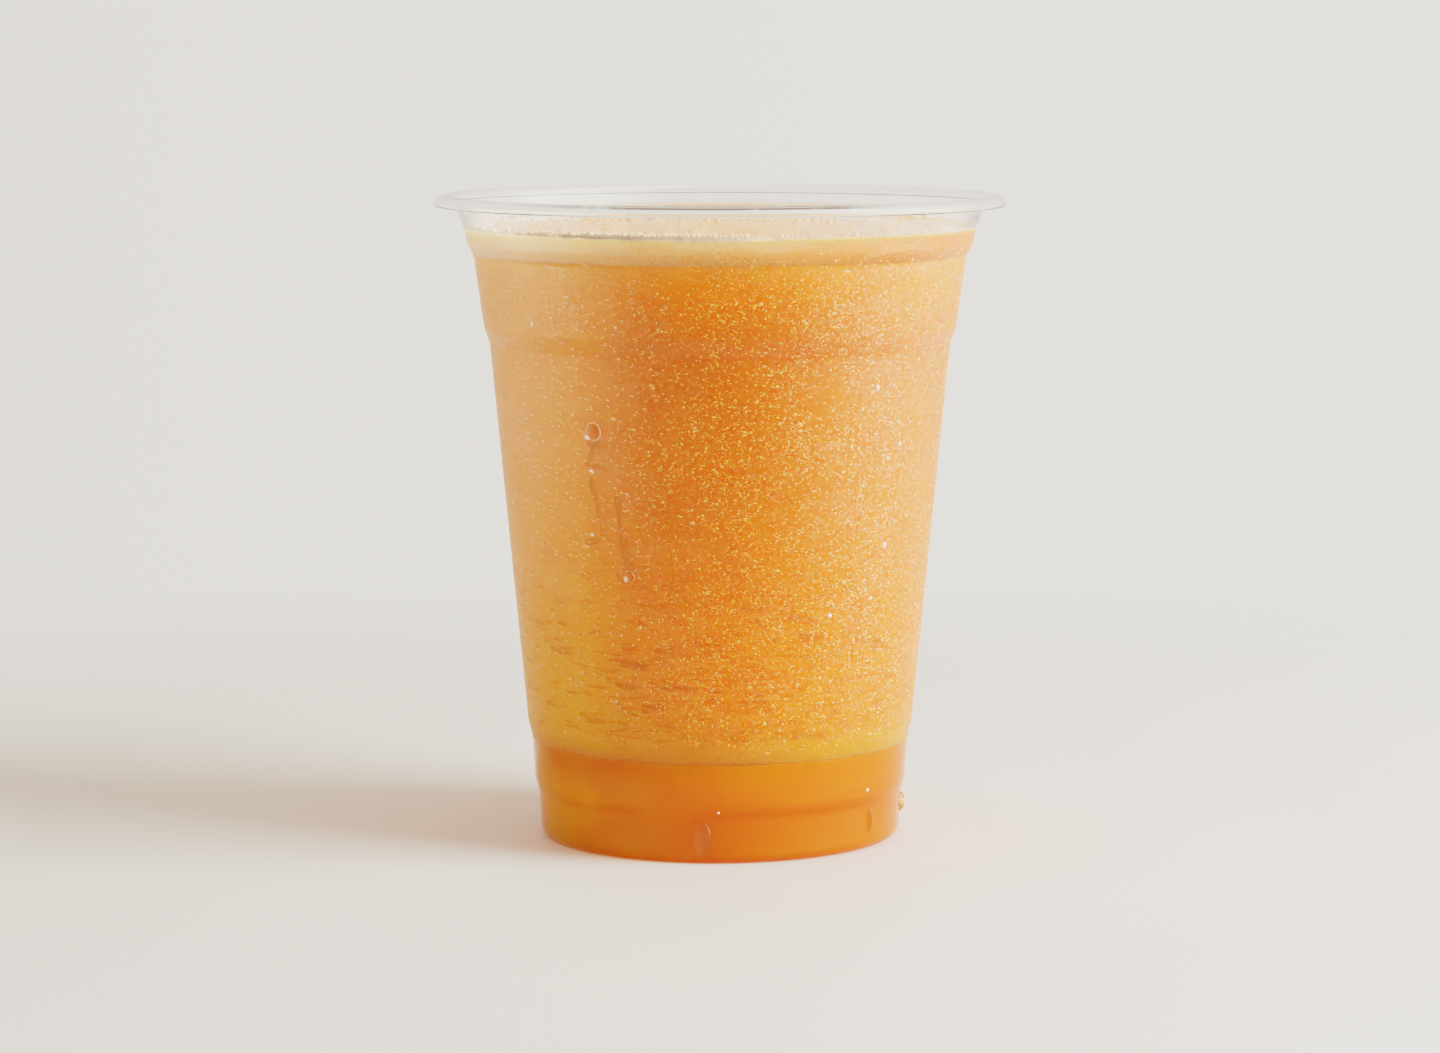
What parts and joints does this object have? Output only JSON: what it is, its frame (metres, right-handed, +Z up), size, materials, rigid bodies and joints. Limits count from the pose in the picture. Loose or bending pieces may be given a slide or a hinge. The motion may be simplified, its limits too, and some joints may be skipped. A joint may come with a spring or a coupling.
{
  "type": "cup of guava juice",
  "caption": "Clear tapered plastic takeaway cup with a rolled rim, filled with golden-orange guava juice that has parted into clear, pulpy and frothy layers.",
  "frame": {"origin": "centre of the cup's foot, on the surface it stands on", "axes": "+Z up along the cup's axis, -Y towards the viewer of the picture, +X to the viewer's right"},
  "size_m": [0.095, 0.095, 0.1075],
  "materials": {
    "clear_plastic": "clear, glossy, thin formed plastic, misted with fine water drops outside",
    "settled_juice": "clear amber-orange juice",
    "pulpy_juice": "cloudy golden-orange juice with fine pulp",
    "froth": "pale cream-orange froth of fine bubbles"
  },
  "bodies": {
    "root": {"cup": "clear_plastic", "settled_juice": "settled_juice", "pulpy_juice": "pulpy_juice", "froth": "froth"}
  },
  "joints": []
}
